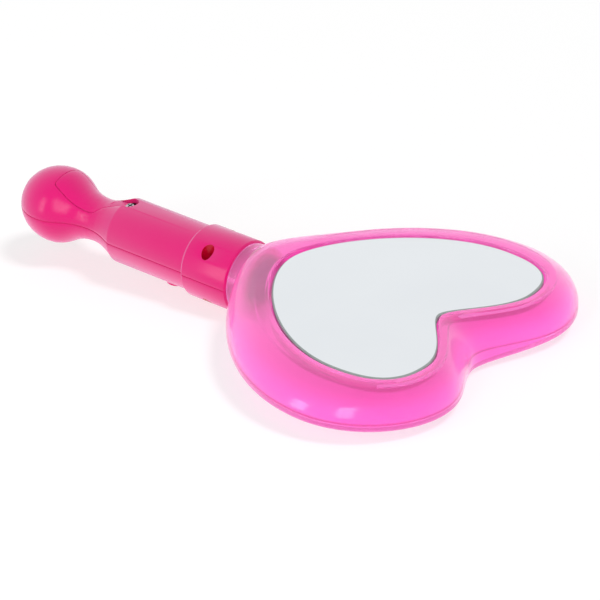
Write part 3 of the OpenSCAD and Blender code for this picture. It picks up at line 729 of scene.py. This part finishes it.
def head_plastic():
    """Clear magenta plastic, with painted shade on its top, a painted sheen edge-on and a painted
    glow. Some light passes through it, so its shadow is thinner.
    """
    head, _, _ = settings()
    made, tree, shader = moulding(
        "Head magenta", head.tint, head.shade, smoothest=0.12, roughest=0.2, IOR=1.38,
        Transmission_Weight=0.85, Coat_Weight=0.3, Coat_Roughness=0.12,
        # Painted glow: the emission stands in for light spread inside the moulding
        Emission_Color=opaque(head.glow), Emission_Strength=0.11)
    # Painted shade: darker towards the frame's top
    tint_base(tree, shader, top_shade_share(tree), head.painted_top_shade)
    # Painted sheen: paler towards the edge-on faces, in place of reflected light
    tint_base(tree, shader, edge_on(tree, 1.35), head.painted_edge_sheen)
    path = add_node(tree, "ShaderNodeLightPath")
    cover = add_node(tree, "ShaderNodeMapRange")
    tree.links.new(path.outputs["Is Shadow Ray"], cover.inputs["Value"])
    fill(cover, To_Min=1.0, To_Max=0.85)
    tree.links.new(cover.outputs["Result"], shader.inputs["Alpha"])
    return made


def mirror_silver():
    """The silvering seen through the glass: all but a plain mirror."""
    return moulding("Mirror silver", linear(232, 236, 239), linear(226, 230, 234), 0.015, 0.04,
                    ripple=0.0, grain=0.0, drift_scale=25.0, Metallic=1.0)[0]


def glass_edge_and_reflection():
    """The ground edge of the glass and the bare border round its silvering. The border's grey is
    partly a painted reflection of the glass's edge.
    """
    return moulding("Glass edge and painted reflection", linear(158, 170, 166), linear(136, 148, 144), 0.25, 0.5,
                    drift_scale=300.0, IOR=1.5)[0]


# --- Pieces --------------------------------------------------------------------------------------

def make_head():
    """The two translucent mouldings of the heart."""
    head, _, _ = settings()
    shape = Heart(head)
    look = head_plastic()
    front = head_shell("Head_front", front_rings(shape), True, shape.seam_z)
    back = head_shell("Head_back", back_rings(shape), False, shape.seam_z)
    for obj, node in ((front, "head_front_shell"), (back, "head_back_shell")):
        smooth_by_angle(obj.data, HEAD_CRISP)
        finish_piece(obj, "handle", "head", node, look)


# The glass's bevelled arris, and the bare border round its silvering, which lies a little off the
# middle of the glass, so that the border varies. The border's grey is partly a painted reflection
# of the glass's edge, wider on one side.
ARRIS, BORDER = 0.3 * MM, 0.66 * MM
SILVER_SHIFT = (-0.28 * MM, 0.35 * MM, 0)


def make_glass():
    """The mirror glass, silvered on its top but for the border, and the tape's finish."""
    head, _, _ = settings()
    shape = Heart(head)
    top, under = shape.glass_z, shape.glass_under_z
    rings = [shape.ring(-ARRIS, under), shape.ring(0, under + ARRIS), shape.ring(0, top - ARRIS),
             shape.ring(-ARRIS, top), shape.ring(-BORDER, top) + SILVER_SHIFT]
    obj = ring_mesh("Mirror_glass", rings)
    finish_piece(obj, "handle", "mirror", "mirror_plate", mirror_silver(), glass_edge_and_reflection())
    # The silvered middle is the fan of triangles on top; everything else is the edge's finish, with
    # the painted reflection on the border.
    for face in obj.data.polygons:
        silvered = len(face.vertices) == 3 and face.normal.z > 0
        face.material_index = 0 if silvered else 1
    dress("mirror_tape", plastic("Foam tape", linear(238, 238, 234), linear(222, 222, 216),
                                 0.7, 0.9))


def make_handle():
    """The handle's two halves, the battery door and the push button, with rounded edges."""
    _, handle, _ = settings()
    look = handle_plastic()
    for node, body, label in (
            ("handle_top_shell", "handle", "Handle_top"),
            ("handle_bottom_shell", "handle", "Handle_bottom"),
            ("battery_door", "battery_door", "Battery_door"),
            ("push_button", "button", "Push_button")):
        piece = rounded(merged_copy(node, label + "_raw"), label, handle.edge)
        finish_piece(piece, body, "handle", node, look)


SPRING_TURNS = 2.5
SPRING_WIRE_R = 0.25 * MM
SPRING_WIDE_R, SPRING_NARROW_R = 3.8 * MM, 2.6 * MM


def coil_spring():
    """Geometry node group: a conical spring that winds along X from a given place."""
    group = bpy.data.node_groups.new("Coil spring", "GeometryNodeTree")
    for name, kind in (("Start radius", "NodeSocketFloat"), ("End radius", "NodeSocketFloat"),
                       ("Length", "NodeSocketFloat"), ("Turns", "NodeSocketFloat"),
                       ("Wire radius", "NodeSocketFloat"), ("Place", "NodeSocketVector"),
                       ("Material", "NodeSocketMaterial")):
        group.interface.new_socket(name=name, in_out="INPUT", socket_type=kind)
    group.interface.new_socket(name="Geometry", in_out="OUTPUT",
                               socket_type="NodeSocketGeometry")
    given = add_node(group, "NodeGroupInput")
    result = add_node(group, "NodeGroupOutput")
    path = add_node(group, "GeometryNodeCurveSpiral")
    fill(path, Resolution=36)
    for source, target in (("Turns", "Rotations"), ("Start radius", "Start Radius"),
                           ("End radius", "End Radius"), ("Length", "Height")):
        group.links.new(given.outputs[source], path.inputs[target])
    wire = add_node(group, "GeometryNodeCurvePrimitiveCircle")
    fill(wire, Resolution=12)
    group.links.new(given.outputs["Wire radius"], wire.inputs["Radius"])
    tube = add_node(group, "GeometryNodeCurveToMesh")
    fill(tube, Fill_Caps=True)
    group.links.new(path.outputs["Curve"], tube.inputs["Curve"])
    group.links.new(wire.outputs["Curve"], tube.inputs["Profile Curve"])
    laid = add_node(group, "GeometryNodeTransform")
    fill(laid, Rotation=(math.pi / 2, 0, math.pi / 2))
    group.links.new(tube.outputs["Mesh"], laid.inputs["Geometry"])
    group.links.new(given.outputs["Place"], laid.inputs["Translation"])
    whole = add_node(group, "GeometryNodeRealizeInstances")
    group.links.new(laid.outputs["Geometry"], whole.inputs["Geometry"])
    coated = add_node(group, "GeometryNodeSetMaterial")
    group.links.new(whole.outputs["Geometry"], coated.inputs["Geometry"])
    group.links.new(given.outputs["Material"], coated.inputs["Material"])
    group.links.new(coated.outputs["Geometry"], result.inputs["Geometry"])
    return group


def grown(name, group, **values):
    """The piece that a geometry node group makes from the given inputs, as a plain mesh."""
    obj = new_object(name + "_raw", bpy.data.meshes.new(name))
    modifier = obj.modifiers.new("Grown", "NODES")
    modifier.node_group = group
    for item in group.interface.items_tree:
        key = item.name.replace(" ", "_").lower()
        if key in values:
            modifier[item.identifier] = values[key]
    return applied(obj, name)


def make_spring(look):
    """The spring behind the cells, of round wire."""
    low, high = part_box("contact_spring")
    spring = grown("Contact_spring", coil_spring(), start_radius=SPRING_WIDE_R,
                   end_radius=SPRING_NARROW_R, length=high.x - low.x - 2 * SPRING_WIRE_R,
                   turns=SPRING_TURNS, wire_radius=SPRING_WIRE_R,
                   place=(low.x + SPRING_WIRE_R, 0, AXIS_Z), material=look)
    smooth_by_angle(spring.data, SPRING_CRISP)
    finish_piece(spring, "handle", "tin", "contact_spring", look)


def make_works():
    """Finishes of the screws, the cells, the board and the rest of the inside."""
    steel = metal("Bright steel", linear(205, 205, 208), linear(170, 170, 174))
    nickel = metal("Nickel", linear(214, 212, 204), linear(190, 188, 180), 0.12, 0.25)
    tin = metal("Tinned metal", linear(208, 208, 204), linear(180, 180, 176))
    black = plastic("Black moulding", linear(34, 34, 36), linear(26, 26, 28))
    white = plastic("White moulding", linear(236, 236, 230), linear(224, 224, 216))
    board = plastic("Board green", linear(44, 120, 62), linear(34, 100, 50), 0.3, 0.45)
    tan = plastic("Tan moulding", linear(168, 120, 92), linear(150, 104, 78))
    red = plastic("Red wire", linear(196, 30, 26), linear(176, 24, 20))
    lens = moulding("Lamp lens", linear(246, 240, 232), linear(240, 230, 220), 0.05, 0.1,
                    Transmission_Weight=0.9)[0]
    for look, *nodes in (
            (steel, "collar_screws", "door_screw"),
            (tin, "led_leads", "contact_front", "contact_rear"),
            (nickel, "button_cell_1", "button_cell_2", "button_cell_3"),
            (black, "switch_body", "control_chip", "series_resistor", "lead_negative"),
            (white, "switch_plunger"), (board, "circuit_board"), (tan, "led_holder"),
            (red, "lead_positive"), (lens, "led_lamp")):
        for node in nodes:
            dress(node, look)
    make_spring(tin)


# --- Studio --------------------------------------------------------------------------------------

# How far the floor lies under the solids, so that no rounding of theirs reaches through it
FLOOR_GAP = 0.15 * MM
FLOOR_HALF = 6.0
# The share of light that the floor sends back, and the light that it gives by itself, so that it
# is white where nothing shades it
FLOOR_SHADE, FLOOR_GLOW = 0.42, 0.65
# Where the weight lies, as a share of the way from the frame's middle to the heart's far end
WEIGHT_SHARE = 0.4


def resting_plane():
    """The plane that the object leans on: a point on it and its slope along X.

    It is the stretch of the side view's lower outline that the weight lies over.
    """
    points = np.concatenate([
        np.array([v.co for v in o.data.vertices])[:, [0, 2]] for o in NODES.values()])
    weight_x = WEIGHT_SHARE * HEAD_BOX[1].x
    # The hull grows from low X to high X, and a point that would lie above it is dropped.
    hull = []
    for p in points[np.lexsort((points[:, 1], points[:, 0]))]:
        while len(hull) > 1:
            (ax, az), (bx, bz) = hull[-2], hull[-1]
            if (bx - ax) * (p[1] - az) - (bz - az) * (p[0] - ax) > 0:
                break
            hull.pop()
        hull.append(tuple(p))
    for (ax, az), (bx, bz) in zip(hull, hull[1:]):
        if ax <= weight_x <= bx:
            return Vector((ax, 0, az - FLOOR_GAP)), (bz - az) / (bx - ax)
    raise RuntimeError("the object has no stretch to rest on")


def floor_material():
    """White paper: it takes the object's shadow, and is white itself where nothing shades it."""
    made, tree, shader = base_material("Paper")
    tree.nodes.remove(shader)
    paper = add_node(tree, "ShaderNodeBsdfDiffuse")
    fill(paper, Color=opaque(3 * (FLOOR_SHADE,)))
    glow = add_node(tree, "ShaderNodeEmission")
    fill(glow, Strength=FLOOR_GLOW)
    both = add_node(tree, "ShaderNodeAddShader")
    tree.links.new(paper.outputs[0], both.inputs[0])
    tree.links.new(glow.outputs[0], both.inputs[1])
    tree.links.new(both.outputs[0], tree.nodes["Material Output"].inputs["Surface"])
    return made


def make_floor():
    """A wide sheet of paper in the plane that the object leans on."""
    point, slope = resting_plane()
    corners = [(x * FLOOR_HALF, y * FLOOR_HALF, point.z + (x * FLOOR_HALF - point.x) * slope)
               for x, y in ((-1, -1), (1, -1), (1, 1), (-1, 1))]
    mesh = bpy.data.meshes.new("Floor")
    mesh.from_pydata(corners, [], [(0, 1, 2, 3)])
    floor = new_object("Floor", mesh)
    mesh.materials.append(floor_material())


def make_world(stage):
    """Even light from all round. The camera, glossy and clear faces see plain white there."""
    world = bpy.data.worlds.new("Studio")
    bpy.context.scene.world = world
    world.use_nodes = True
    tree = world.node_tree
    backdrop = tree.nodes["Background"]
    fill(backdrop, Color=(1, 1, 1, 1))
    path = add_node(tree, "ShaderNodeLightPath")
    seen = path.outputs["Is Camera Ray"]
    for ray in ("Is Glossy Ray", "Is Transmission Ray"):
        either = add_node(tree, "ShaderNodeMath", operation="MAXIMUM")
        tree.links.new(seen, either.inputs[0])
        tree.links.new(path.outputs[ray], either.inputs[1])
        seen = either.outputs[0]
    level = add_node(tree, "ShaderNodeMapRange")
    tree.links.new(seen, level.inputs["Value"])
    fill(level, To_Min=stage.sky, To_Max=1.0)
    tree.links.new(level.outputs["Result"], backdrop.inputs["Strength"])


# Two panes of a window, mirrored in the ball that ends the handle: their directions from it,
# their distance, their width and height, and their power in watts
BALL_R = 16 * MM
PANES = {"Pane_left": (-0.34, -0.88, 0.24), "Pane_right": (0.36, -0.80, 0.40)}
PANE_AWAY, PANE_SIZE, PANE_POWER = 0.8, (0.2, 0.5), 1.2
# The key light: how far it stands to the right of the camera and above it, for each metre back,
# its strength, and its width as an angle
KEY_RIGHT, KEY_UP, KEY_STRENGTH, KEY_WIDTH = 0.45, 0.9, 1.35, 0.24


def put_lamp(name, data, place, way):
    """Puts a lamp at a place, shining along a way."""
    lamp = new_object(name, data)
    lamp.location = place
    lamp.rotation_euler = way.to_track_quat("-Z", "Y").to_euler()
    return lamp


def make_lights(stage):
    """Two panes of a window beside the handle, and a key light above the camera."""
    ball = Vector((HANDLE_BOX[0].x + BALL_R, 0, AXIS_Z))
    for name, way in PANES.items():
        out = Vector(way).normalized()
        data = bpy.data.lights.new(name, "AREA")
        data.shape = "RECTANGLE"
        data.size, data.size_y = PANE_SIZE
        data.energy = PANE_POWER
        put_lamp(name, data, ball + PANE_AWAY * out, -out)
    sight, right, up = camera_axes(stage)
    back = (KEY_RIGHT * right + KEY_UP * up - sight).normalized()
    data = bpy.data.lights.new("Key", "SUN")
    data.energy = KEY_STRENGTH
    data.angle = KEY_WIDTH
    key = put_lamp("Key", data, back, -back)
    key.visible_glossy = False
    key.visible_transmission = False


def camera_axes(stage):
    """The camera's line of sight, its right and its up."""
    a, e, roll = stage.azimuth, stage.elevation, stage.roll
    sight = Vector((-math.sin(a) * math.cos(e), math.cos(a) * math.cos(e), -math.sin(e)))
    level = Vector((math.cos(a), math.sin(a), 0))
    right = Matrix.Rotation(-roll, 3, sight) @ level
    return sight, right, right.cross(sight)


def make_camera(stage):
    """The camera, aimed from its settings."""
    sight, right, up = camera_axes(stage)
    data = bpy.data.cameras.new("Camera")
    data.sensor_width = 36
    data.sensor_fit = "HORIZONTAL"
    data.lens = stage.lens
    data.clip_start, data.clip_end = 0.05, 30
    camera = new_object("Camera", data)
    turn = Matrix((right, up, -sight)).transposed()
    camera.matrix_world = Matrix.Translation(
        Vector(stage.aim) - sight * stage.distance) @ turn.to_4x4()
    bpy.context.scene.camera = camera


# --- Operators, panel and registration -----------------------------------------------------------

class MIRROR_OT_head(bpy.types.Operator):
    """Make the two translucent mouldings of the heart"""
    bl_idname = "hand_mirror.head"
    bl_label = "Head Shells"

    def execute(self, context):
        make_head()
        return {"FINISHED"}


class MIRROR_OT_glass(bpy.types.Operator):
    """Make the mirror glass and finish the tape behind it"""
    bl_idname = "hand_mirror.glass"
    bl_label = "Mirror Glass"

    def execute(self, context):
        make_glass()
        return {"FINISHED"}


class MIRROR_OT_handle(bpy.types.Operator):
    """Make the handle's two halves, the battery door and the push button"""
    bl_idname = "hand_mirror.handle"
    bl_label = "Handle"

    def execute(self, context):
        make_handle()
        return {"FINISHED"}


class MIRROR_OT_works(bpy.types.Operator):
    """Finish the screws, the cells, the board, the lamp and the wires"""
    bl_idname = "hand_mirror.works"
    bl_label = "Inner Works"

    def execute(self, context):
        make_works()
        return {"FINISHED"}


class MIRROR_OT_stage(bpy.types.Operator):
    """Set up the floor, the lights and the camera"""
    bl_idname = "hand_mirror.stage"
    bl_label = "Studio"

    def execute(self, context):
        _, _, stage = settings()
        make_floor()
        make_world(stage)
        make_lights(stage)
        make_camera(stage)
        bpy.context.scene.view_settings.view_transform = "Standard"
        return {"FINISHED"}


OPERATORS = (MIRROR_OT_head, MIRROR_OT_glass, MIRROR_OT_handle, MIRROR_OT_works,
             MIRROR_OT_stage)


class MIRROR_PT_sidebar(bpy.types.Panel):
    """Buttons and settings of the hand mirror"""
    bl_idname = "MIRROR_PT_sidebar"
    bl_label = "Hand Mirror"
    bl_space_type = "VIEW_3D"
    bl_region_type = "UI"
    bl_category = "Hand Mirror"

    def draw(self, context):
        for operator in OPERATORS:
            self.layout.operator(operator.bl_idname)
        for group in settings():
            box = self.layout.box()
            for name in group.bl_rna.properties.keys():
                if name not in ("rna_type", "name"):
                    box.prop(group, name)


CLASSES = (HeadSettings, HandleSettings, StageSettings, *OPERATORS, MIRROR_PT_sidebar)
GROUPS = {"mirror_head": HeadSettings, "mirror_handle": HandleSettings,
          "mirror_stage": StageSettings}


def register():
    for each in CLASSES:
        bpy.utils.register_class(each)
    for name, group in GROUPS.items():
        setattr(bpy.types.Scene, name, bpy.props.PointerProperty(type=group))


def unregister():
    for name in GROUPS:
        delattr(bpy.types.Scene, name)
    for each in reversed(CLASSES):
        bpy.utils.unregister_class(each)


def main():
    """Runs every operator in order."""
    register()
    for operator in OPERATORS:
        getattr(bpy.ops.hand_mirror, operator.bl_idname.split(".")[1])()


if __name__ == "__main__":
    main()
